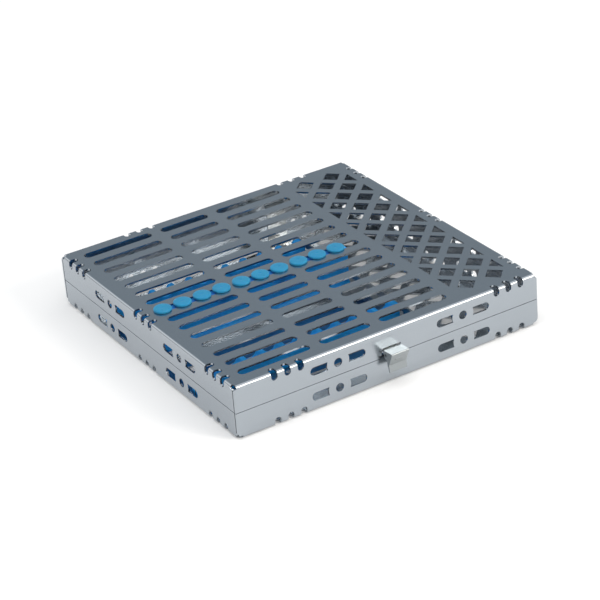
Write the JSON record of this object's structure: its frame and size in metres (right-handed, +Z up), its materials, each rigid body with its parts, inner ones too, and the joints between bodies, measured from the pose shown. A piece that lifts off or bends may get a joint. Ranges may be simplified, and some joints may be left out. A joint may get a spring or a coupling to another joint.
{
  "type": "dental instrument cassette",
  "caption": "Perforated steel sterilisation cassette: hinged lid, silicone instrument racks, silicone hold-down strip with studs, accessory bay and front snap latch.",
  "frame": {"origin": "centre of the base's flat underside, midway between the walls", "axes": "+X from the left wall to the accessory side, +Y from the latch to the hinges, +Z up"},
  "size_m": [0.184, 0.1981, 0.0315],
  "materials": {
    "tray_steel": "fine satin",
    "rail_steel": "satin",
    "spring_steel": "bright rolled",
    "latch_steel": "bright satin",
    "fitting_steel": "satin",
    "silicone": "matt moulded"
  },
  "bodies": {
    "base": {"base_tray": "tray_steel", "front_rail": "rail_steel", "back_rail": "rail_steel", "front_comb": "silicone", "back_comb": "silicone", "divider": "rail_steel", "accessory_clip": "spring_steel", "rail_rivets": "fitting_steel", "divider_rivets": "fitting_steel", "clip_rivet": "fitting_steel", "base_leaf_left": "fitting_steel", "base_leaf_right": "fitting_steel", "hinge_pin_left": "fitting_steel", "hinge_pin_right": "fitting_steel", "latch_catch": "rail_steel"},
    "lid": {"lid_tray": "tray_steel", "hold_down_strip": "silicone", "lid_leaf_left": "fitting_steel", "lid_leaf_right": "fitting_steel", "latch_bracket": "rail_steel", "latch_pin": "fitting_steel", "latch_spring": "spring_steel"},
    "latch": {"latch_lever": "latch_steel"}
  },
  "joints": [
    {"name": "lid_hinge", "type": "hinge", "parent": "base", "child": "lid", "pos_m": [0, 0.095, 0.015], "axis": [-1, 0, 0], "range_deg": [0, 178]},
    {"name": "latch_pivot", "type": "hinge", "parent": "lid", "child": "latch", "pos_m": [0, -0.0951, 0.0176], "axis": [-1, 0, 0], "range_deg": [0, 18], "stiffness_Nm_per_rad": 0.15, "springref_deg": -11.46}
  ]
}
